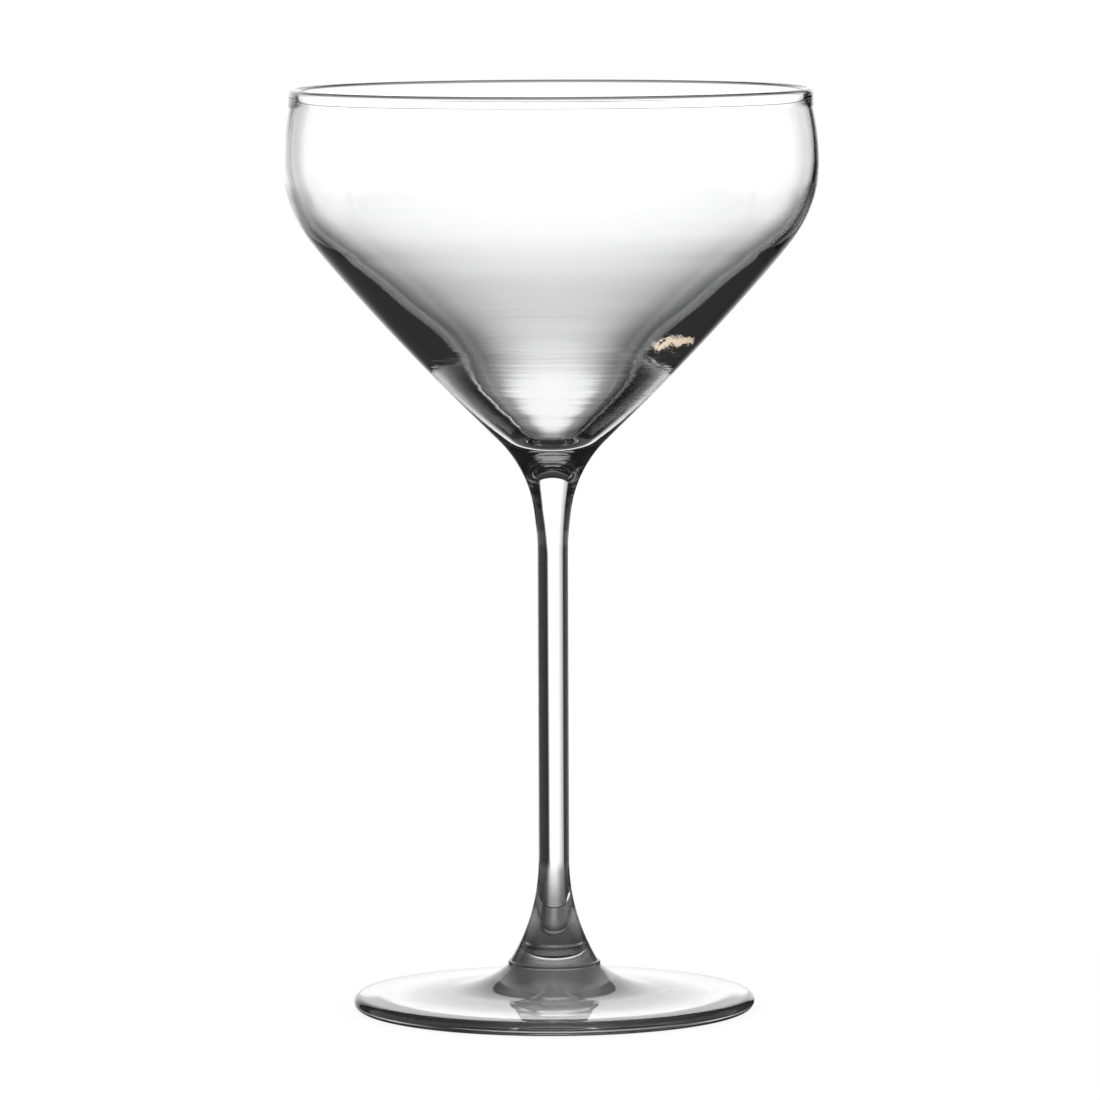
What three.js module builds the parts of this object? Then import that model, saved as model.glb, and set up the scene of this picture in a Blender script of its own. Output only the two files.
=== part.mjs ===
// Coupe glass in three pieces of clear glass, fused hot at two seams: bowl, stem and foot.
// Millimetres, +Z up. The origin is the middle of the ring that the foot rests on.
import * as THREE from "three";

// Foot
const footDiameter = 76.8;
const footHeight = 9.2; // table to the seam under the stem
const edgeThickness = 2.7; // fully rounded edge
const footSlope = 3.5; // degrees, the upper face from its edge inwards
const footFilletRadius = 20; // hollow curve from that slope up to the collar
const collarDiameter = 17.7;
const collarWall = 0.85; // upright side of the collar
const collarRound = 0.3; // softened upper edge of the collar
const restRingWidth = 4; // flat ring on the table
const undersideRise = 1; // hollow of the underside, in the middle

// Stem
const stemHeight = 98.6; // seam on the foot to the underside of the bowl
const stemDiameter = 5.9;
const stemEndDiameter = 16.8; // flared end on the collar
const endFlareRadius = 36.4;
const headTaperRadius = 60; // long swelling below the head
const headTaperAngle = 8.6; // degrees, where the swelling turns into the flare
const headFlareRadius = 22.8;

// Bowl
const bowlHeight = 68.2; // underside to the top of the lip
const bowlDiameter = 102.4; // at its widest
const widestBelowLip = 13; // down from the top of the lip
const rimDiameter = 99.8; // over the lip
const lipThickness = 1.5; // fire-polished bead
const lipReach = 2.6; // the bead runs out into the wall this far down
const upperRadius = 42; // wall above the widest place
const shoulderRadius = 26.9; // wall below the widest place
const flankRadius = 450; // long slope from the shoulder down to the stem
const baseRadius = 22.3; // dome of the underside, held in the head of the stem
const sideWall = 1.2; // from the lip down to the widest place
const innerShoulderRadius = 24.5; // smaller than outside, so the wall thickens from here down
const innerFlankRadius = 300; // slope inside, flatter than the flank outside
const waistHeight = 9.3; // up from the underside, at the thickest place of the wall
const waistWall = 4.65; // there
const waistRadius = 140; // long bend by which the inside turns down more steeply
const funnelRadius = 300; // from the waist to the bottom, nearly along the outside
const innerBaseRadius = 9.8; // rounded bottom inside
const baseWall = 1.9; // on the axis

// Roundness
const turns = 64; // facets round the axis, shared by all pieces so that their seams match

// Heights of the two seams and the lip
const footSeam = footHeight;
const bowlBase = footSeam + stemHeight;
const lipTop = bowlBase + bowlHeight;

const point = (x, y) => new THREE.Vector2(x, y);

// Points of an arc from one angle to another, in radians from +X.
function arc(centre, radius, from, to, steps) {
  const points = [];
  for (let i = 0; i <= steps; i += 1) {
    const angle = from + ((to - from) * i) / steps;
    points.push(point(centre.x + radius * Math.cos(angle), centre.y + radius * Math.sin(angle)));
  }
  return points;
}

// Angle of a point as seen from a centre.
function angleOf(centre, target) {
  return Math.atan2(target.y - centre.y, target.x - centre.x);
}

// Centre of the circle of the given radius that wraps two smaller ones and touches both.
// One given with a negative radius stays outside the wrapping circle and touches it there.
// The centre lies on the left of the way from the first to the second.
function wrapCentre(first, firstRadius, second, secondRadius, radius) {
  const reachFirst = radius - firstRadius;
  const reachSecond = radius - secondRadius;
  const way = second.clone().sub(first);
  const span = way.length();
  const along = (reachFirst ** 2 - reachSecond ** 2 + span ** 2) / (2 * span);
  const aside = Math.sqrt(reachFirst ** 2 - along ** 2);
  const unit = way.divideScalar(span);
  return point(first.x + along * unit.x - aside * unit.y, first.y + along * unit.y + aside * unit.x);
}

// Angle at which a straight line from a point touches a circle, on the side given by +1 or -1.
function touchAngle(centre, radius, target, side) {
  const distance = target.distanceTo(centre);
  return angleOf(centre, target) + side * Math.acos(radius / distance);
}

// One outline from several runs of points, without the points that repeat at their joints.
function outline(...runs) {
  const points = [];
  for (const next of runs.flat()) {
    const last = points[points.length - 1];
    if (!last || last.distanceTo(next) > 1e-4) points.push(next);
  }
  return points;
}

// A closed body turned round +Z from an outline that starts and ends on the axis.
function turned(name, points, colour, roughness) {
  const geometry = new THREE.LatheGeometry(points, turns);
  geometry.rotateX(Math.PI / 2);
  const material = new THREE.MeshStandardMaterial({
    color: colour,
    roughness: roughness,
    metalness: 0,
    transparent: true,
    opacity: 0.35,
  });
  const mesh = new THREE.Mesh(geometry, material);
  mesh.name = name;
  return mesh;
}

// Bowl, outside: dome of the underside, flank, shoulder and upper wall, each running smoothly into the next
const down = -Math.PI / 2;
const domeCentre = point(0, bowlBase + baseRadius);
const widest = lipTop - widestBelowLip;
const shoulderCentre = point(bowlDiameter / 2 - shoulderRadius, widest);
const upperCentre = point(bowlDiameter / 2 - upperRadius, widest);
const flankCentre = wrapCentre(domeCentre, baseRadius, shoulderCentre, shoulderRadius, flankRadius);
const seamAngle = angleOf(flankCentre, domeCentre);
const shoulderAngle = angleOf(flankCentre, shoulderCentre);
const seatArc = arc(domeCentre, baseRadius, down, seamAngle, 6);
const flankArc = arc(flankCentre, flankRadius, seamAngle, shoulderAngle, 4);
const shoulderArc = arc(shoulderCentre, shoulderRadius, shoulderAngle, 0, 7);
const neckRise = widestBelowLip - lipReach;
const upperArc = arc(upperCentre, upperRadius, 0, Math.asin(neckRise / upperRadius), 3);

// Bowl, inside: upper wall, tighter shoulder, flatter flank, waist, funnel and rounded bottom
const innerUpper = upperRadius - sideWall;
const innerShoulderCentre = point(bowlDiameter / 2 - sideWall - innerShoulderRadius, widest);
const innerDomeCentre = point(0, bowlBase + baseWall + innerBaseRadius);
const waistAngle = Math.asin((bowlBase + waistHeight - flankCentre.y) / flankRadius);
const waistReach = flankRadius - waistWall + waistRadius;
const waistCentre = point(
  flankCentre.x + waistReach * Math.cos(waistAngle),
  flankCentre.y + waistReach * Math.sin(waistAngle),
);
const innerFlankCentre = wrapCentre(
  waistCentre,
  -waistRadius,
  innerShoulderCentre,
  innerShoulderRadius,
  innerFlankRadius,
);
const funnelCentre = wrapCentre(innerDomeCentre, innerBaseRadius, waistCentre, -waistRadius, funnelRadius);
const innerFlankTop = angleOf(innerFlankCentre, innerShoulderCentre);
const innerFlankEnd = angleOf(innerFlankCentre, waistCentre);
const funnelTop = angleOf(funnelCentre, waistCentre);
const funnelEnd = angleOf(funnelCentre, innerDomeCentre);
const innerUpperArc = arc(upperCentre, innerUpper, Math.asin(neckRise / innerUpper), 0, 3);
const innerShoulderArc = arc(innerShoulderCentre, innerShoulderRadius, 0, innerFlankTop, 7);
const innerFlankArc = arc(innerFlankCentre, innerFlankRadius, innerFlankTop, innerFlankEnd, 3);
const waistArc = arc(waistCentre, waistRadius, innerFlankEnd + Math.PI, funnelTop + Math.PI, 4);
const funnelArc = arc(funnelCentre, funnelRadius, funnelTop, funnelEnd, 2);
const innerDomeArc = arc(innerDomeCentre, innerBaseRadius, funnelEnd, down, 6);

// Bowl, lip: a bead that straight tangents join to both faces of the wall
const lipRadius = lipThickness / 2;
const lipCentre = point(rimDiameter / 2 - lipRadius, lipTop - lipRadius);
const lipOuter = touchAngle(lipCentre, lipRadius, upperArc[upperArc.length - 1], 1);
const lipInner = touchAngle(lipCentre, lipRadius, innerUpperArc[0], -1) + 2 * Math.PI;
const lipArc = [
  ...arc(lipCentre, lipRadius, lipOuter, Math.PI / 2, 5),
  ...arc(lipCentre, lipRadius, Math.PI / 2, lipInner, 5),
];

const bowl = turned(
  "bowl",
  outline(
    seatArc,
    flankArc,
    shoulderArc,
    upperArc,
    lipArc,
    innerUpperArc,
    innerShoulderArc,
    innerFlankArc,
    waistArc,
    funnelArc,
    innerDomeArc,
  ),
  0xf4f8f8,
  0.03,
);

// Stem: flared end on the foot, straight shank, swelling, flare and a cup that holds the dome of the bowl
const radians = Math.PI / 180;
const shank = stemDiameter / 2;
const endAngle = Math.acos(1 - (stemEndDiameter / 2 - shank) / endFlareRadius);
const endTop = footSeam + endFlareRadius * Math.sin(endAngle);
const endArc = arc(point(shank + endFlareRadius, endTop), endFlareRadius, Math.PI + endAngle, Math.PI, 7);
const seamEdge = seatArc[seatArc.length - 1];
const lean = -seamAngle; // the cup's outside carries on the slope of the bowl's flank
const taper = headTaperAngle * radians;
const taperOut = headTaperRadius * (1 - Math.cos(taper));
const taperUp = headTaperRadius * Math.sin(taper);
const flareOut = headFlareRadius * (Math.cos(taper) - Math.cos(lean));
const flareUp = headFlareRadius * (Math.sin(lean) - Math.sin(taper));
const cupOut = seamEdge.x - shank - taperOut - flareOut;
const cupUp = cupOut / Math.tan(lean);
const taperStart = seamEdge.y - cupUp - flareUp - taperUp;
const taperCentre = point(shank + headTaperRadius, taperStart);
const taperArc = arc(taperCentre, headTaperRadius, Math.PI, Math.PI - taper, 4);
const taperEnd = taperArc[taperArc.length - 1];
const flareCentre = point(
  taperEnd.x + headFlareRadius * Math.cos(taper),
  taperEnd.y - headFlareRadius * Math.sin(taper),
);
const flareArc = arc(flareCentre, headFlareRadius, Math.PI - taper, Math.PI - lean, 7);

const stem = turned(
  "stem",
  outline([point(0, footSeam)], endArc, taperArc, flareArc, seatArc.slice().reverse()),
  0xf4f8f8,
  0.03,
);

// Foot: hollow underside, flat ring, round edge, sloped upper face, hollow fillet and collar
const edgeRadius = edgeThickness / 2;
const edgeCentre = point(footDiameter / 2 - edgeRadius, edgeRadius);
const ringInner = edgeCentre.x - restRingWidth;
const undersideRadius = (ringInner ** 2 + undersideRise ** 2) / (2 * undersideRise);
const undersideCentre = point(0, undersideRise - undersideRadius);
const ringAngle = Math.acos(ringInner / undersideRadius);
const undersideArc = arc(undersideCentre, undersideRadius, Math.PI / 2, ringAngle, 4);
const slope = footSlope * radians;
const edgeArc = arc(edgeCentre, edgeRadius, down, Math.PI / 2 - slope, 8);
const slopeStart = edgeArc[edgeArc.length - 1];
const collarRadius = collarDiameter / 2;
const collarFoot = point(collarRadius, footHeight - collarWall);
const slopeNormal = point(Math.sin(slope), Math.cos(slope));
const slopeInwards = point(-Math.cos(slope), Math.sin(slope));
const filletLine = slopeStart.clone().addScaledVector(slopeNormal, footFilletRadius);
const toLine = filletLine.clone().sub(collarFoot);
const ahead = toLine.dot(slopeInwards);
const filletRun = -ahead - Math.sqrt(ahead ** 2 - toLine.lengthSq() + footFilletRadius ** 2);
const filletCentre = filletLine.clone().addScaledVector(slopeInwards, filletRun);
const filletEnd = angleOf(filletCentre, collarFoot);
const filletArc = arc(filletCentre, footFilletRadius, down - slope, filletEnd, 6);
const roundCentre = point(collarRadius - collarRound, footHeight - collarRound);
const roundArc = arc(roundCentre, collarRound, 0, Math.PI / 2, 3);

const foot = turned(
  "foot",
  outline(undersideArc, edgeArc, filletArc, roundArc, [point(0, footHeight)]),
  0xf4f8f8,
  0.03,
);

const coupe = new THREE.Group();
coupe.name = "coupe_glass";
coupe.add(bowl, stem, foot);

export default coupe;
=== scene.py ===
import math
import bmesh
import bpy
from mathutils import Euler, Matrix, Vector


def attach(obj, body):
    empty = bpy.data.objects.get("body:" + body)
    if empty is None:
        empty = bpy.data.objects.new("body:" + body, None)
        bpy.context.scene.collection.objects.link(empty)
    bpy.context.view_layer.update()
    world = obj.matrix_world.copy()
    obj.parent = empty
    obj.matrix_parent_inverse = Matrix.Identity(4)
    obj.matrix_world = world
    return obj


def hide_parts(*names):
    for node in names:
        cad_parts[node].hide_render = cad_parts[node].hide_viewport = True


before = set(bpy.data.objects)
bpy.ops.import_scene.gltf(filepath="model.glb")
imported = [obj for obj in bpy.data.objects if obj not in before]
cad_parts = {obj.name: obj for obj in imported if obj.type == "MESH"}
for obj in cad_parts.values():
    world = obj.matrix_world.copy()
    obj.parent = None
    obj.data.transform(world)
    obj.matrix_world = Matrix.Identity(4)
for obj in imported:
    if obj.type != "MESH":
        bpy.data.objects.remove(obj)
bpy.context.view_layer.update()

mm = 0.001
halfTurn = math.pi
quarterTurn = math.pi / 2
mergeGap = 0.0002 * mm
scene = bpy.context.scene
print("frame loaded:", ", ".join(sorted(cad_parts)))


# drawing a half outline in the XZ plane, then turning it round Z

def startOutline(x, z):
    bm = bmesh.new()
    return bm, bm.verts.new((x * mm, 0, z * mm))


def lineTo(bm, tip, x, z, cuts):
    step = (Vector((x * mm, 0, z * mm)) - tip.co) / cuts
    for _ in range(cuts):
        tip = bmesh.ops.extrude_vert_indiv(bm, verts=[tip])["verts"][0]
        bmesh.ops.translate(bm, verts=[tip], vec=step)
    return tip


def arcTo(bm, tip, centre, turn, cuts):
    made = bmesh.ops.spin(bm, geom=[tip], cent=(centre[0] * mm, 0, centre[1] * mm), axis=(0, -1, 0),
                          angle=turn, steps=cuts)
    return next(v for v in made["geom_last"] if isinstance(v, bmesh.types.BMVert))


def relax(bm, verts, place, reach, rounds):
    # eases the bend where two arcs meet, less and less away from it
    middle = Vector((place[0] * mm, 0, place[1] * mm))
    for index in range(rounds):
        near = [v for v in verts if (v.co - middle).length < reach * mm * (1 - index / rounds)]
        bmesh.ops.smooth_vert(bm, verts=near, factor=0.5, use_axis_x=True, use_axis_z=True)


def turnRound(bm, cuts):
    bmesh.ops.spin(bm, geom=bm.verts[:] + bm.edges[:], cent=(0, 0, 0), axis=(0, 0, 1), angle=2 * halfTurn,
                   steps=cuts, use_merge=True)
    bmesh.ops.remove_doubles(bm, verts=bm.verts[:], dist=mergeGap)
    bmesh.ops.recalc_face_normals(bm, faces=bm.faces[:])
    for face in bm.faces:
        face.smooth = True


def markFused(bm, onSeam):
    # faces fused to the next piece go to slot 1, with a sharp border
    for face in bm.faces:
        if onSeam(face.calc_center_median() / mm, face.normal):
            face.material_index = 1
    for edge in bm.edges:
        fused = {face.material_index == 1 for face in edge.link_faces}
        edge.smooth = len(fused) == 1


def addPiece(name, bm, *materials):
    mesh = bpy.data.meshes.new(name)
    bm.to_mesh(mesh)
    bm.free()
    for material in materials:
        mesh.materials.append(material)
    piece = bpy.data.objects.new(name, mesh)
    scene.collection.objects.link(piece)
    return piece


# circles that run smoothly into each other

def angleOf(centre, target):
    return math.atan2(target[1] - centre[1], target[0] - centre[0])


def onCircle(centre, radius, angle):
    return centre[0] + radius * math.cos(angle), centre[1] + radius * math.sin(angle)


def wrapCentre(first, firstRadius, second, secondRadius, radius):
    # circle round two others; a negative radius keeps that one outside it
    reachFirst, reachSecond = radius - firstRadius, radius - secondRadius
    way = Vector(second) - Vector(first)
    span = way.length
    along = (reachFirst ** 2 - reachSecond ** 2 + span ** 2) / (2 * span)
    aside = math.sqrt(reachFirst ** 2 - along ** 2)
    unit = way / span
    return first[0] + along * unit.x - aside * unit.y, first[1] + along * unit.y + aside * unit.x


def touchAngle(centre, radius, target, side):
    return angleOf(centre, target) + side * math.acos(radius / (Vector(target) - Vector(centre)).length)


# node helpers

def newMaterial(name):
    material = bpy.data.materials.new(name)
    material.use_nodes = True
    material.node_tree.nodes.clear()
    return material, material.node_tree


def addNode(tree, kind, **settings):
    node = tree.nodes.new(kind)
    for key, value in settings.items():
        setattr(node, key, value)
    return node


def feed(tree, value, socket):
    if isinstance(value, bpy.types.NodeSocket):
        tree.links.new(value, socket)
    else:
        socket.default_value = value


def calc(tree, operation, first, second=None):
    node = addNode(tree, "ShaderNodeMath", operation=operation)
    feed(tree, first, node.inputs[0])
    if second is not None:
        feed(tree, second, node.inputs[1])
    return node.outputs[0]


def times(tree, first, *others):
    for other in others:
        first = calc(tree, "MULTIPLY", first, other)
    return first


def moreThan(tree, count, number):
    # whole counts, so the limit lies half a step up
    return calc(tree, "GREATER_THAN", count, number + 0.5)


def fade(tree, value, low, high, start=0.0, end=1.0):
    # soft step from start to end while the value runs from low to high
    node = addNode(tree, "ShaderNodeMapRange", interpolation_type="SMOOTHSTEP")
    entries = {"Value": value, "From Min": low, "From Max": high, "To Min": start, "To Max": end}
    for socket, entry in entries.items():
        feed(tree, entry, node.inputs[socket])
    return node.outputs[0]


def blendValues(tree, share, first, second):
    node = addNode(tree, "ShaderNodeMix", data_type="FLOAT")
    for index, entry in ((0, share), (2, first), (3, second)):
        feed(tree, entry, node.inputs[index])
    return node.outputs[0]


def blendColours(tree, share, first, second):
    node = addNode(tree, "ShaderNodeMix", data_type="RGBA")
    for index, entry in ((0, share), (6, first), (7, second)):
        feed(tree, entry, node.inputs[index])
    return node.outputs[2]


def steps(tree, value, stops):
    # a run of levels over a value, from a list of (place, level)
    low, high = stops[0][0], stops[-1][0]
    spread = addNode(tree, "ShaderNodeMapRange")
    feed(tree, value, spread.inputs["Value"])
    spread.inputs["From Min"].default_value, spread.inputs["From Max"].default_value = low, high
    ramp = addNode(tree, "ShaderNodeValToRGB")
    tree.links.new(spread.outputs[0], ramp.inputs[0])
    marks = ramp.color_ramp.elements
    for index, (place, level) in enumerate(stops):
        at = (place - low) / (high - low)
        mark = marks[index] if index < 2 else marks.new(at)
        mark.position, mark.color = at, (level, level, level, 1)
    return ramp.outputs[0]


# the glass

glassLook = {
    "ior": 1.52, "clear": (1.0, 1.0, 1.0, 1.0), "dense": (0.992, 0.993, 0.996, 1.0),
    # waves: stretch in X, Y and Z, scale, the heights between which they are strong, their rest and depth
    "bowl": {"stretch": (1, 1, 26), "scale": 24.0, "low": 0.1075, "high": 0.1320,
             "calm": 0.03, "depth": 0.03 * mm, "haze": 0.0},
    "stem": {"stretch": (9, 9, 0.5), "scale": 60.0, "low": 0.009, "high": 0.036,
             "calm": 0.3, "depth": 0.012 * mm, "haze": 0.0},
    "foot": {"stretch": (1, 1, 3), "scale": 60.0, "low": 0.003, "high": 0.0095,
             "calm": 0.1, "depth": 0.01 * mm, "haze": 0.0},
    # core: the radii between which the satin fades, and its shares there
    "underside": {"stretch": (1, 1, 1), "scale": 110.0, "low": -0.01, "high": 0.002,
                  "calm": 1.0, "depth": 0.01 * mm, "haze": 0.4, "core": (0.017, 0.032, 1, 0.06)},
}
flowLook = {
    "inputs": ("Stretch", "Scale", "Low", "High", "Calm", "Depth", "Haze"),
    "detail": 2.0, "distortion": 0.3, "rim": 0.25, "dense": (0.3, 0.7),
    "speckScale": 420.0, "speckDetail": 4.0, "speckHaze": (0.35, 0.65, 0.92, 1.0),
}


def makeFlow():
    # waves and haze that hot glass keeps from blowing, drawing and pressing
    group = bpy.data.node_groups.new("hot glass flow", "ShaderNodeTree")
    for name in flowLook["inputs"]:
        kind = "NodeSocketVector" if name == "Stretch" else "NodeSocketFloat"
        group.interface.new_socket(name, in_out="INPUT", socket_type=kind)
    for name in ("Height", "Roughness", "Density"):
        group.interface.new_socket(name, in_out="OUTPUT", socket_type="NodeSocketFloat")
    start, end = addNode(group, "NodeGroupInput"), addNode(group, "NodeGroupOutput")
    place = addNode(group, "ShaderNodeTexCoord").outputs["Object"]
    split = addNode(group, "ShaderNodeSeparateXYZ")
    group.links.new(place, split.inputs[0])
    stretched = addNode(group, "ShaderNodeVectorMath", operation="MULTIPLY")
    group.links.new(place, stretched.inputs[0])
    group.links.new(start.outputs["Stretch"], stretched.inputs[1])
    waves = addNode(group, "ShaderNodeTexNoise")
    waves.inputs["Detail"].default_value = flowLook["detail"]
    waves.inputs["Distortion"].default_value = flowLook["distortion"]
    group.links.new(stretched.outputs[0], waves.inputs["Vector"])
    group.links.new(start.outputs["Scale"], waves.inputs["Scale"])
    z, low, high = split.outputs[2], start.outputs["Low"], start.outputs["High"]
    rim = times(group, calc(group, "SUBTRACT", high, low), flowLook["rim"])
    above = fade(group, z, low, calc(group, "ADD", low, rim))
    below = fade(group, z, calc(group, "SUBTRACT", high, rim), high, 1, 0)
    share = blendValues(group, times(group, above, below), start.outputs["Calm"], 1.0)
    height = times(group, waves.outputs[0], share, start.outputs["Depth"])
    group.links.new(height, end.inputs["Height"])
    specks = addNode(group, "ShaderNodeTexNoise")
    specks.inputs["Scale"].default_value = flowLook["speckScale"]
    specks.inputs["Detail"].default_value = flowLook["speckDetail"]
    group.links.new(place, specks.inputs["Vector"])
    haze = fade(group, specks.outputs[0], *flowLook["speckHaze"])
    group.links.new(times(group, haze, start.outputs["Haze"]), end.inputs["Roughness"])
    group.links.new(fade(group, waves.outputs[0], *flowLook["dense"]), end.inputs["Density"])
    return group


flow = makeFlow()


def makeGlass(name, look):
    material, tree = newMaterial(name)
    out, shader = addNode(tree, "ShaderNodeOutputMaterial"), addNode(tree, "ShaderNodeBsdfPrincipled")
    shader.inputs["IOR"].default_value = glassLook["ior"]
    shader.inputs["Transmission Weight"].default_value = 1.0
    waves = addNode(tree, "ShaderNodeGroup", node_tree=flow)
    for socket in flowLook["inputs"]:
        waves.inputs[socket].default_value = look[socket.lower()]
    tint = blendColours(tree, waves.outputs["Density"], glassLook["clear"], glassLook["dense"])
    tree.links.new(tint, shader.inputs["Base Color"])
    haze = waves.outputs["Roughness"]
    if "core" in look:
        # satin in the middle, clear towards the edge
        away = addNode(tree, "ShaderNodeVectorMath", operation="LENGTH")
        tree.links.new(addNode(tree, "ShaderNodeTexCoord").outputs["Object"], away.inputs[0])
        haze = times(tree, haze, fade(tree, away.outputs["Value"], *look["core"]))
    tree.links.new(haze, shader.inputs["Roughness"])
    bump = addNode(tree, "ShaderNodeBump")
    bump.inputs["Strength"].default_value, bump.inputs["Distance"].default_value = 1.0, 1.0
    tree.links.new(waves.outputs["Height"], bump.inputs["Height"])
    tree.links.new(bump.outputs[0], shader.inputs["Normal"])
    tree.links.new(shader.outputs[0], out.inputs[0])
    return material


def makeFused():
    # inside of a hot seam: one glass runs into the next
    material, tree = newMaterial("fused seam")
    out = addNode(tree, "ShaderNodeOutputMaterial")
    clear = addNode(tree, "ShaderNodeBsdfTransparent")
    tree.links.new(clear.outputs[0], out.inputs[0])
    return material


bowlGlass = makeGlass("bowl glass", glassLook["bowl"])
stemGlass = makeGlass("stem glass", glassLook["stem"])
footGlass = makeGlass("foot glass", glassLook["foot"])
undersideGlass = makeGlass("foot underside", glassLook["underside"])
fusedSeam = makeFused()
print("materials made")


# foot: hollow underside, flat ring, round edge, slope, hollow fillet and collar

foot = {
    "diameter": 76.8, "height": 9.2, "edge": 2.7, "slope": math.radians(3.5), "fillet": 20.0,
    "collar": 17.7, "collarWall": 0.85, "collarRound": 0.3, "restRing": 4.0, "underRise": 1.0,
    "underFacing": -0.9, "cuts": 192,
}
footSeam = foot["height"]


def drawFoot():
    edgeRadius, collarRadius = foot["edge"] / 2, foot["collar"] / 2
    edgeCentre = (foot["diameter"] / 2 - edgeRadius, edgeRadius)
    ringInner = edgeCentre[0] - foot["restRing"]
    underRadius = (ringInner ** 2 + foot["underRise"] ** 2) / (2 * foot["underRise"])
    underTurn = math.acos(ringInner / underRadius) - quarterTurn
    slope, fillet = foot["slope"], foot["fillet"]
    slopeStart = onCircle(edgeCentre, edgeRadius, quarterTurn - slope)
    collarFoot = (collarRadius, footSeam - foot["collarWall"])
    inwards = Vector((-math.cos(slope), math.sin(slope)))
    beside = Vector(slopeStart) + fillet * Vector((math.sin(slope), math.cos(slope)))
    ahead = (beside - Vector(collarFoot)).dot(inwards)
    run = -ahead - math.sqrt(ahead ** 2 - (beside - Vector(collarFoot)).length_squared + fillet ** 2)
    filletCentre = tuple(beside + run * inwards)
    filletStart = onCircle(filletCentre, fillet, -quarterTurn - slope)
    filletTurn = angleOf(filletCentre, collarFoot) + quarterTurn + slope
    roundRadius = foot["collarRound"]
    roundCentre = (collarRadius - roundRadius, footSeam - roundRadius)
    bm, tip = startOutline(0, foot["underRise"])
    tip = arcTo(bm, tip, (0, foot["underRise"] - underRadius), underTurn, cuts=24)
    tip = lineTo(bm, tip, edgeCentre[0], 0, cuts=4)
    tip = arcTo(bm, tip, edgeCentre, halfTurn - slope, cuts=28)
    tip = lineTo(bm, tip, *filletStart, cuts=20)
    tip = arcTo(bm, tip, filletCentre, filletTurn, cuts=40)
    tip = lineTo(bm, tip, collarRadius, roundCentre[1], cuts=3)
    tip = arcTo(bm, tip, roundCentre, quarterTurn, cuts=8)
    tip = lineTo(bm, tip, stem["endDiameter"] / 2, footSeam, cuts=1)
    lineTo(bm, tip, 0, footSeam, cuts=6)
    turnRound(bm, foot["cuts"])
    for face in bm.faces:
        if face.normal.z < foot["underFacing"]:
            face.material_index = 2  # satin underside
    return bm


# stem: flared end, straight shank, swelling, flare and the cup that holds the dome of the bowl

stem = {
    "height": 98.6, "diameter": 5.9, "endDiameter": 16.8, "endFlare": 36.4,
    "taperRadius": 60.0, "taper": math.radians(8.6), "headFlare": 22.8, "cuts": 192,
}
bowlBase = footSeam + stem["height"]


def drawStem():
    shank, flare, taper, lean = stem["diameter"] / 2, stem["headFlare"], stem["taper"], -seamAngle
    endAngle = math.acos(1 - (stem["endDiameter"] / 2 - shank) / stem["endFlare"])
    endTop = footSeam + stem["endFlare"] * math.sin(endAngle)
    taperOut, taperUp = stem["taperRadius"] * (1 - math.cos(taper)), stem["taperRadius"] * math.sin(taper)
    flareOut = flare * (math.cos(taper) - math.cos(lean))
    flareUp = flare * (math.sin(lean) - math.sin(taper))
    cupUp = (seamEdge[0] - shank - taperOut - flareOut) / math.tan(lean)
    taperStart = seamEdge[1] - cupUp - flareUp - taperUp
    taperCentre = (shank + stem["taperRadius"], taperStart)
    taperEnd = onCircle(taperCentre, stem["taperRadius"], halfTurn - taper)
    flareCentre = (taperEnd[0] + flare * math.cos(taper), taperEnd[1] - flare * math.sin(taper))
    bm, tip = startOutline(0, footSeam)
    tip = lineTo(bm, tip, stem["endDiameter"] / 2, footSeam, cuts=6)
    tip = arcTo(bm, tip, (shank + stem["endFlare"], endTop), -endAngle, cuts=40)
    tip = lineTo(bm, tip, shank, taperStart, cuts=20)
    tip = arcTo(bm, tip, taperCentre, -taper, cuts=16)
    tip = arcTo(bm, tip, flareCentre, taper - lean, cuts=36)
    tip = lineTo(bm, tip, *seamEdge, cuts=12)
    arcTo(bm, tip, domeCentre, -quarterTurn - seamAngle, cuts=30)
    turnRound(bm, stem["cuts"])
    return bm


# bowl: the outside and the inside are two chains of circles, joined by the bead of the lip

bowl = {
    "height": 68.2, "diameter": 102.4, "widestBelowLip": 13.0, "rim": 99.8, "lip": 1.5, "lipReach": 2.6,
    "upper": 42.0, "shoulder": 26.9, "flank": 450.0, "base": 22.3, "sideWall": 1.2, "innerShoulder": 24.5,
    "innerFlank": 300.0, "waistHeight": 9.3, "waistWall": 4.65, "waist": 140.0, "funnel": 300.0,
    "innerBase": 9.8, "baseWall": 1.9, "cuts": 192,
}
lipTop = bowlBase + bowl["height"]
domeCentre = (0.0, bowlBase + bowl["base"])
widest = lipTop - bowl["widestBelowLip"]
shoulderCentre = (bowl["diameter"] / 2 - bowl["shoulder"], widest)
flankCentre = wrapCentre(domeCentre, bowl["base"], shoulderCentre, bowl["shoulder"], bowl["flank"])
seamAngle = angleOf(flankCentre, domeCentre)
seamEdge = onCircle(domeCentre, bowl["base"], seamAngle)


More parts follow.
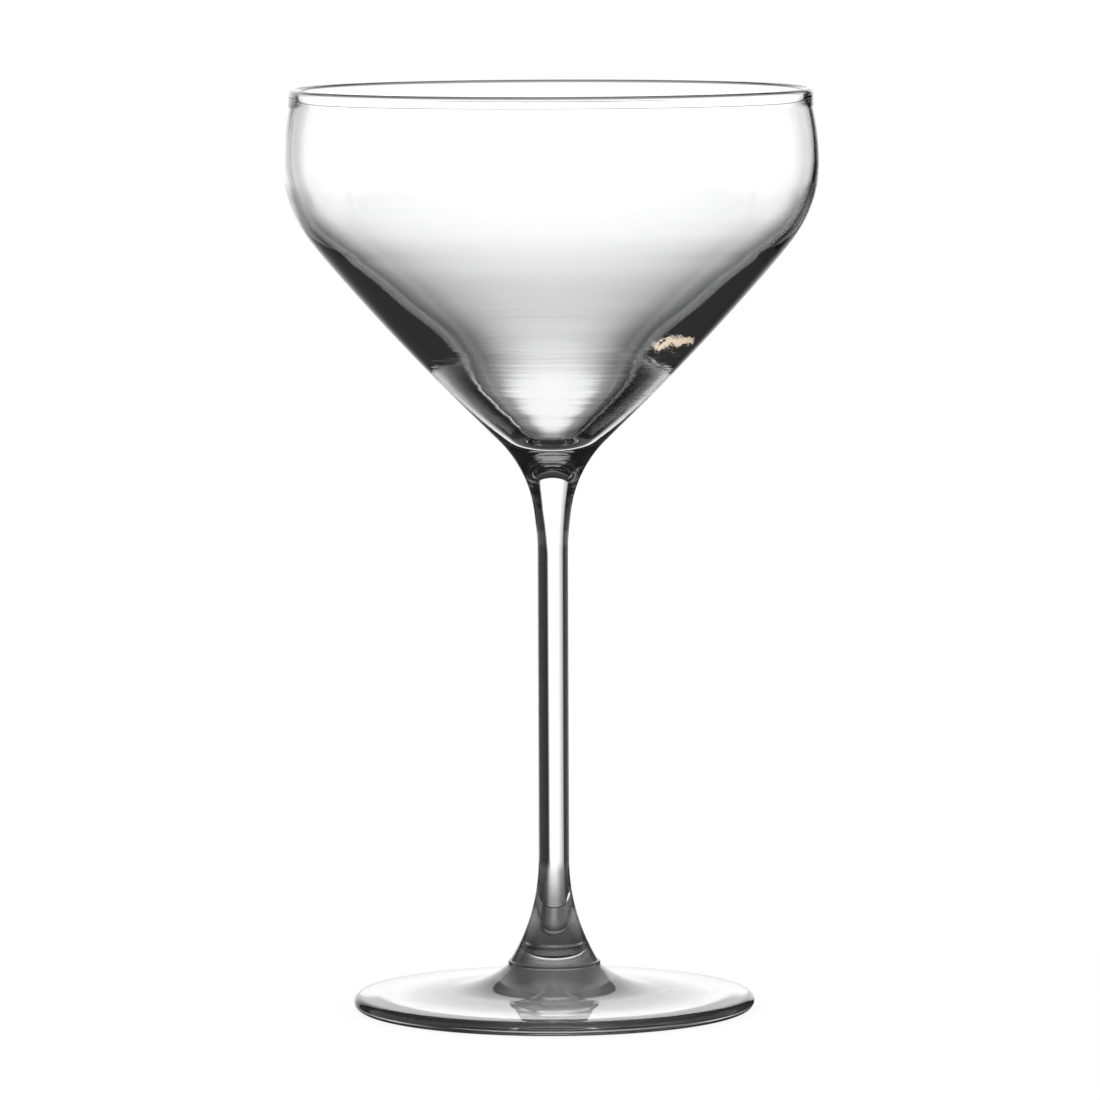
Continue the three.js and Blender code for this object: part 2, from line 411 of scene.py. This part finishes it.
def drawBowl():
    flankTop = angleOf(flankCentre, shoulderCentre)
    upperCentre = (bowl["diameter"] / 2 - bowl["upper"], widest)
    neckRise = bowl["widestBelowLip"] - bowl["lipReach"]
    upperEnd = math.asin(neckRise / bowl["upper"])
    innerUpper = bowl["upper"] - bowl["sideWall"]
    innerUpperTop = math.asin(neckRise / innerUpper)
    neckOutside = onCircle(upperCentre, bowl["upper"], upperEnd)
    neckInside = onCircle(upperCentre, innerUpper, innerUpperTop)
    lipRadius = bowl["lip"] / 2
    lipCentre = (bowl["rim"] / 2 - lipRadius, lipTop - lipRadius)
    lipStart = touchAngle(lipCentre, lipRadius, neckOutside, 1)
    lipEnd = touchAngle(lipCentre, lipRadius, neckInside, -1) + 2 * halfTurn
    innerShoulderCentre = (bowl["diameter"] / 2 - bowl["sideWall"] - bowl["innerShoulder"], widest)
    innerDomeCentre = (0.0, bowlBase + bowl["baseWall"] + bowl["innerBase"])
    waistAngle = math.asin((bowlBase + bowl["waistHeight"] - flankCentre[1]) / bowl["flank"])
    waistCentre = onCircle(flankCentre, bowl["flank"] - bowl["waistWall"] + bowl["waist"], waistAngle)
    innerFlankCentre = wrapCentre(waistCentre, -bowl["waist"], innerShoulderCentre, bowl["innerShoulder"],
                                  bowl["innerFlank"])
    funnelCentre = wrapCentre(innerDomeCentre, bowl["innerBase"], waistCentre, -bowl["waist"], bowl["funnel"])
    innerFlankTop = angleOf(innerFlankCentre, innerShoulderCentre)
    innerFlankEnd = angleOf(innerFlankCentre, waistCentre)
    funnelTop, funnelEnd = angleOf(funnelCentre, waistCentre), angleOf(funnelCentre, innerDomeCentre)
    bm, tip = startOutline(0, bowlBase)
    tip = arcTo(bm, tip, domeCentre, seamAngle + quarterTurn, cuts=30)
    tip = arcTo(bm, tip, flankCentre, flankTop - seamAngle, cuts=44)
    tip = arcTo(bm, tip, shoulderCentre, -flankTop, cuts=36)
    tip = arcTo(bm, tip, upperCentre, upperEnd, cuts=14)
    tip = lineTo(bm, tip, *onCircle(lipCentre, lipRadius, lipStart), cuts=2)
    tip = arcTo(bm, tip, lipCentre, quarterTurn - lipStart, cuts=12)
    outside = bm.verts[:]
    tip = arcTo(bm, tip, lipCentre, lipEnd - quarterTurn, cuts=12)
    tip = lineTo(bm, tip, *neckInside, cuts=2)
    tip = arcTo(bm, tip, upperCentre, -innerUpperTop, cuts=14)
    tip = arcTo(bm, tip, innerShoulderCentre, innerFlankTop, cuts=36)
    tip = arcTo(bm, tip, innerFlankCentre, innerFlankEnd - innerFlankTop, cuts=20)
    tip = arcTo(bm, tip, waistCentre, funnelTop - innerFlankEnd, cuts=20)
    tip = arcTo(bm, tip, funnelCentre, funnelEnd - funnelTop, cuts=16)
    arcTo(bm, tip, innerDomeCentre, -quarterTurn - funnelEnd, cuts=28)
    inside = [v for v in bm.verts if v not in outside]
    relax(bm, outside, onCircle(flankCentre, bowl["flank"], flankTop), reach=10, rounds=40)
    relax(bm, inside, onCircle(innerFlankCentre, bowl["innerFlank"], innerFlankTop), reach=14, rounds=60)
    relax(bm, inside, onCircle(innerFlankCentre, bowl["innerFlank"], innerFlankEnd), reach=9, rounds=30)
    relax(bm, inside, onCircle(funnelCentre, bowl["funnel"], funnelTop), reach=7, rounds=30)
    turnRound(bm, bowl["cuts"])
    return bm


# hot seams: the bowl's dome in the stem's cup, and the stem's end on the foot's collar

seamSlack = {"dome": 0.05, "collar": 0.001}


def onDome(place, facing):
    fromCentre = (place - Vector((0, 0, domeCentre[1]))).length
    return place.z < seamEdge[1] and abs(fromCentre - bowl["base"]) < seamSlack["dome"]


def onFootSeam(place, facing):
    return abs(place.z - footSeam) < seamSlack["collar"] and place.xy.length < stem["endDiameter"] / 2


def onStemSeams(place, facing):
    return onFootSeam(place, facing) or (onDome(place, facing) and facing.z > 0)


for name, draw, glasses, onSeam in (
    ("bowl", drawBowl, (bowlGlass, fusedSeam), onDome),
    ("stem", drawStem, (stemGlass, fusedSeam), onStemSeams),
    ("foot", drawFoot, (footGlass, fusedSeam, undersideGlass), onFootSeam),
):
    bm = draw()
    markFused(bm, onSeam)
    piece = addPiece("clear_" + name, bm, *glasses)
    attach(piece, "root")
    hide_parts(name)
    print(name, "turned:", len(piece.data.polygons), "faces")


# stage: a white floor, and a studio of a white backdrop, dark flags and soft cards round the glass

studio = {
    "dark": 0.012,
    # level by the slope of the ray in degrees: the satin table below, darker towards straight down as painted
    # shade under the glass, the backdrop above
    "levels": [(-90, 0.05), (-65, 0.055), (-55, 0.12), (-50, 0.2), (-45, 0.27), (-32, 0.35), (-24.5, 0.34),
               (-21.5, 0.38), (-19, 0.47), (-17, 0.57), (-15, 0.7), (-13, 0.83), (-11, 0.98), (-9, 1.1),
               (-7, 1.17), (-3, 1.2), (3, 1.35), (30, 1.35)],
    # soft steps: from and to in degrees, share before and after
    "left": (-31.5, -28.5, 0, 1), "leftSlow": (-34, -8, 0.3, 1), "top": (29, 31, 1, 0),
    "topInside": (-2, 4, 1, 0), "table": (-12, -7, 1, 0), "tableLeft": (-36, -24, 0.15, 1),
    "tableRight": (8, 22, 1, 0.2), "tableSides": (2, 22, 1, 0.33), "tableBowl": (1.2, 9, 1, 0.43),
    "tableInside": (-26, -14, 0.3, 1), "front": (106, 116, 0, 1),
    # slanting flag on the right: place, slant, least and most
    "right": (17.5, 0.9, 10, 22), "rightSoft": 4.0,
    # level in front of the glass, by slope
    "frontLevels": [(-90, 0.05), (-55, 0.06), (-30, 0.1), (-17, 0.24), (1, 0.28), (3, 0.9), (12, 0.9),
                    (14, 0.22), (90, 0.22)],
    # cards: from and to in degrees round the glass, from and to in slope, level
    # each kind of card shows only to some light and lights nothing: straight cards to light not mirrored,
    # mirrored cards to mirrored light, sheen cards to light mirrored once and wall sheen cards to such light
    # that has passed more than one surface; painted bright patches and painted reflections in the glass
    "straight": [(62, 84, -9, 4, 0.9), (-112, -58, -12, 16, 0.25), (116, 154, -24, -6, 1.0),
                 (-103, -77, -10, 5, 1.0)],
    "mirrored": [(-24, 24, 45, 62, 0.45), (-112, -52, 3, 25, 0.2)],
    "sheen": [(-115, -48, -18, 25, 0.42), (52, 115, -18, 25, 0.42)],
    "wallSheen": [(-115, -28, -12, 25, 0.93), (29, 115, -12, 25, 0.9)],
    "warm": (-92, -66, 2, 11, 1.1), "warmTint": (1.0, 0.82, 0.6, 1.0), "soft": 2.0, "wallSoft": 6.0,
    # how often light must have been mirrored, and at most, to see the warm card, a painted warm highlight,
    # how often before it is painted nearly dark, as painted shade, and the level of that shade
    "warmAfter": 11, "warmUpTo": 13, "paintedShadeAfter": 7, "paintedShadeLevel": 0.03,
    "wallPasses": 3,  # light that has passed more surfaces than this has gone through the bowl
}


def card(tree, turn, rise, place, soft):
    level = place[4]
    for value, start, end in ((turn, *place[:2]), (rise, *place[2:4])):
        level = times(tree, fade(tree, value, start - soft, start + soft), level)
        level = times(tree, fade(tree, value, end - soft, end + soft, 1, 0), level)
    return level


def makeStudio():
    world = bpy.data.worlds.new("studio")
    world.use_nodes = True
    tree = world.node_tree
    tree.nodes.clear()
    out, sky = addNode(tree, "ShaderNodeOutputWorld"), addNode(tree, "ShaderNodeBackground")
    split = addNode(tree, "ShaderNodeSeparateXYZ")
    tree.links.new(addNode(tree, "ShaderNodeTexCoord").outputs["Generated"], split.inputs[0])
    turn = times(tree, calc(tree, "ARCTAN2", split.outputs[0], split.outputs[1]), 180 / halfTurn)
    rise = times(tree, calc(tree, "ARCSINE", split.outputs[2]), 180 / halfTurn)
    aside = calc(tree, "ABSOLUTE", turn)
    path = addNode(tree, "ShaderNodeLightPath")
    bounces, passes = path.outputs["Glossy Depth"], path.outputs["Transmission Depth"]
    mirrored = moreThan(tree, bounces, 0)
    straight = calc(tree, "SUBTRACT", 1, mirrored)
    once = calc(tree, "COMPARE", bounces, 1)

    def soften(value, name):
        return fade(tree, value, *studio[name])

    # backdrop, with a slanting flag on its right
    place, slant, least, most = studio["right"]
    edge = calc(tree, "ADD", times(tree, rise, slant), place)
    edge = calc(tree, "MINIMUM", calc(tree, "MAXIMUM", edge, least), most)
    soft = studio["rightSoft"]
    right = fade(tree, calc(tree, "SUBTRACT", turn, edge), -soft, soft, 1, 0)
    # light mirrored inside the glass finds the backdrop ending near level: painted shade in reflections
    inside = times(tree, mirrored, moreThan(tree, passes, 0))
    top = blendValues(tree, inside, soften(rise, "top"), soften(rise, "topInside"))
    back = times(tree, soften(turn, "left"), soften(turn, "leftSlow"), right, top)
    # table
    # light that has gone through the bowl finds the table's sides darker sooner, and mirrored light finds the
    # table darker at steep slopes: painted shade in the glass
    walls = moreThan(tree, passes, studio["wallPasses"])
    sides = blendValues(tree, walls, soften(aside, "tableSides"), soften(aside, "tableBowl"))
    near = blendValues(tree, mirrored, 1.0, soften(rise, "tableInside"))
    table = times(tree, soften(turn, "tableLeft"), soften(turn, "tableRight"), sides, near)
    shape = blendValues(tree, soften(rise, "table"), back, table)
    level = times(tree, steps(tree, rise, studio["levels"]), shape)
    # front and cards
    front = times(tree, soften(aside, "front"), steps(tree, rise, studio["frontLevels"]))
    level = calc(tree, "MAXIMUM", calc(tree, "MAXIMUM", level, front), studio["dark"])
    onceInside = times(tree, once, moreThan(tree, passes, 1))
    soft = studio["soft"]
    cards = (("straight", straight, soft), ("mirrored", mirrored, soft), ("sheen", once, soft),
             ("wallSheen", onceInside, studio["wallSoft"]))
    for kind, rays, blur in cards:
        for place in studio[kind]:
            shown = times(tree, card(tree, turn, rise, place, blur), rays)
            level = calc(tree, "MAXIMUM", level, shown)
    # light that has gone round inside the glass many times is painted nearly dark: painted shade in the glass
    level = blendValues(tree, moreThan(tree, bounces, studio["paintedShadeAfter"]), level, studio["paintedShadeLevel"])
    # painted warm highlight: the warm card shows only to light mirrored 12 or 13 times inside the glass,
    # tinted warm
    notPast = calc(tree, "SUBTRACT", 1, moreThan(tree, bounces, studio["warmUpTo"]))
    reached = times(tree, moreThan(tree, bounces, studio["warmAfter"]), notPast)
    warm = times(tree, card(tree, turn, rise, studio["warm"], soft), reached)
    level = calc(tree, "MAXIMUM", level, warm)
    # plain white to the camera and to the floor
    seen = calc(tree, "MAXIMUM", path.outputs["Is Camera Ray"], path.outputs["Is Diffuse Ray"])
    tree.links.new(blendValues(tree, seen, level, 1.0), sky.inputs["Strength"])
    warmShare = times(tree, warm, calc(tree, "SUBTRACT", 1, seen))
    tree.links.new(blendColours(tree, warmShare, (1, 1, 1, 1), studio["warmTint"]), sky.inputs["Color"])
    tree.links.new(sky.outputs[0], out.inputs[0])
    return world


floorLook = {"radius": 8.0, "drop": 0.05 * mm, "corners": 96, "white": 1.02, "shadow": 0.12}


def makeFloor():
    # white as it is, with a share of paint that takes the shadow
    material, tree = newMaterial("white floor")
    out, both = addNode(tree, "ShaderNodeOutputMaterial"), addNode(tree, "ShaderNodeMixShader")
    light, paint = addNode(tree, "ShaderNodeEmission"), addNode(tree, "ShaderNodeBsdfDiffuse")
    light.inputs["Strength"].default_value = floorLook["white"]
    paint.inputs["Color"].default_value = (1, 1, 1, 1)
    both.inputs[0].default_value = floorLook["shadow"]
    tree.links.new(light.outputs[0], both.inputs[1])
    tree.links.new(paint.outputs[0], both.inputs[2])
    tree.links.new(both.outputs[0], out.inputs[0])
    return material


# sheets behind the glass for the view from the right: white glowing patches that light nothing and show only
# through the glass, painted light
sheets = {
    "under foot": {"away": 0.107, "length": 0.055, "width": 0.045, "depth": 0.05},
    "behind bowl": {"away": 0.315, "length": 0.185, "width": 0.1, "depth": 0.1 * mm},
}
glowSheetLook = {
    "turn": math.radians(135), "corners": 48, "passes": 1,
    # slopes of the light that sees them, as the share it turns away from the sheet
    "steep": (0.5, 0.53, 0, 1), "grazing": (0.67, 0.7, 1, 0),
}


def makePaintedGlowSheet():
    # glows white to light that comes straight through the glass, and is absent to all other light: a painted
    # bright patch seen in the glass
    material, tree = newMaterial("painted glow sheet")
    out, both = addNode(tree, "ShaderNodeOutputMaterial"), addNode(tree, "ShaderNodeMixShader")
    clear, light = addNode(tree, "ShaderNodeBsdfTransparent"), addNode(tree, "ShaderNodeEmission")
    path = addNode(tree, "ShaderNodeLightPath")
    straight = calc(tree, "SUBTRACT", 1, moreThan(tree, path.outputs["Glossy Depth"], 0))
    through = moreThan(tree, path.outputs["Transmission Depth"], glowSheetLook["passes"])
    facing = addNode(tree, "ShaderNodeLayerWeight").outputs["Facing"]
    steep, grazing = fade(tree, facing, *glowSheetLook["steep"]), fade(tree, facing, *glowSheetLook["grazing"])
    tree.links.new(times(tree, straight, through, steep, grazing), both.inputs[0])
    tree.links.new(clear.outputs[0], both.inputs[1])
    tree.links.new(light.outputs[0], both.inputs[2])
    tree.links.new(both.outputs[0], out.inputs[0])
    return material


bm = bmesh.new()
turned = Matrix.Rotation(glowSheetLook["turn"], 4, "Z")
for size in sheets.values():
    place = turned @ Matrix.Translation((size["away"], 0, -size["depth"]))
    bmesh.ops.create_circle(bm, cap_ends=True, segments=glowSheetLook["corners"], radius=1,
                            matrix=place @ Matrix.Diagonal((size["length"], size["width"], 1, 1)))
sheet = addPiece("sheet", bm, makePaintedGlowSheet())
sheet.visible_camera = sheet.visible_diffuse = sheet.visible_glossy = sheet.visible_shadow = False
bm = bmesh.new()
bmesh.ops.create_circle(bm, cap_ends=True, segments=floorLook["corners"], radius=floorLook["radius"])
bmesh.ops.translate(bm, verts=bm.verts[:], vec=(0, 0, -floorLook["drop"]))
floor = addPiece("floor", bm, makeFloor())
floor.visible_transmission = floor.visible_glossy = False
scene.world = makeStudio()
print("stage set")


# camera at the photograph's angle

view = {
    "place": (-0.00051, -1.51018, 0.22679), "down": math.radians(5.25266), "roll": math.radians(-0.22),
    "lens": 260.163, "sensor": 36.0, "far": 100.0,
}
glassBounces, clearBounces = 32, 16
lens = bpy.data.cameras.new("camera")
lens.lens, lens.sensor_width, lens.clip_end = view["lens"], view["sensor"], view["far"]
camera = bpy.data.objects.new("camera", lens)
scene.collection.objects.link(camera)
camera.location = view["place"]
aim = Euler((quarterTurn - view["down"], 0, 0)).to_matrix() @ Matrix.Rotation(view["roll"], 3, "Z")
camera.rotation_euler = aim.to_euler()
scene.camera = camera
scene.view_settings.view_transform = "Standard"
scene.cycles.max_bounces = scene.cycles.transmission_bounces = scene.cycles.glossy_bounces = glassBounces
scene.cycles.transparent_max_bounces = clearBounces
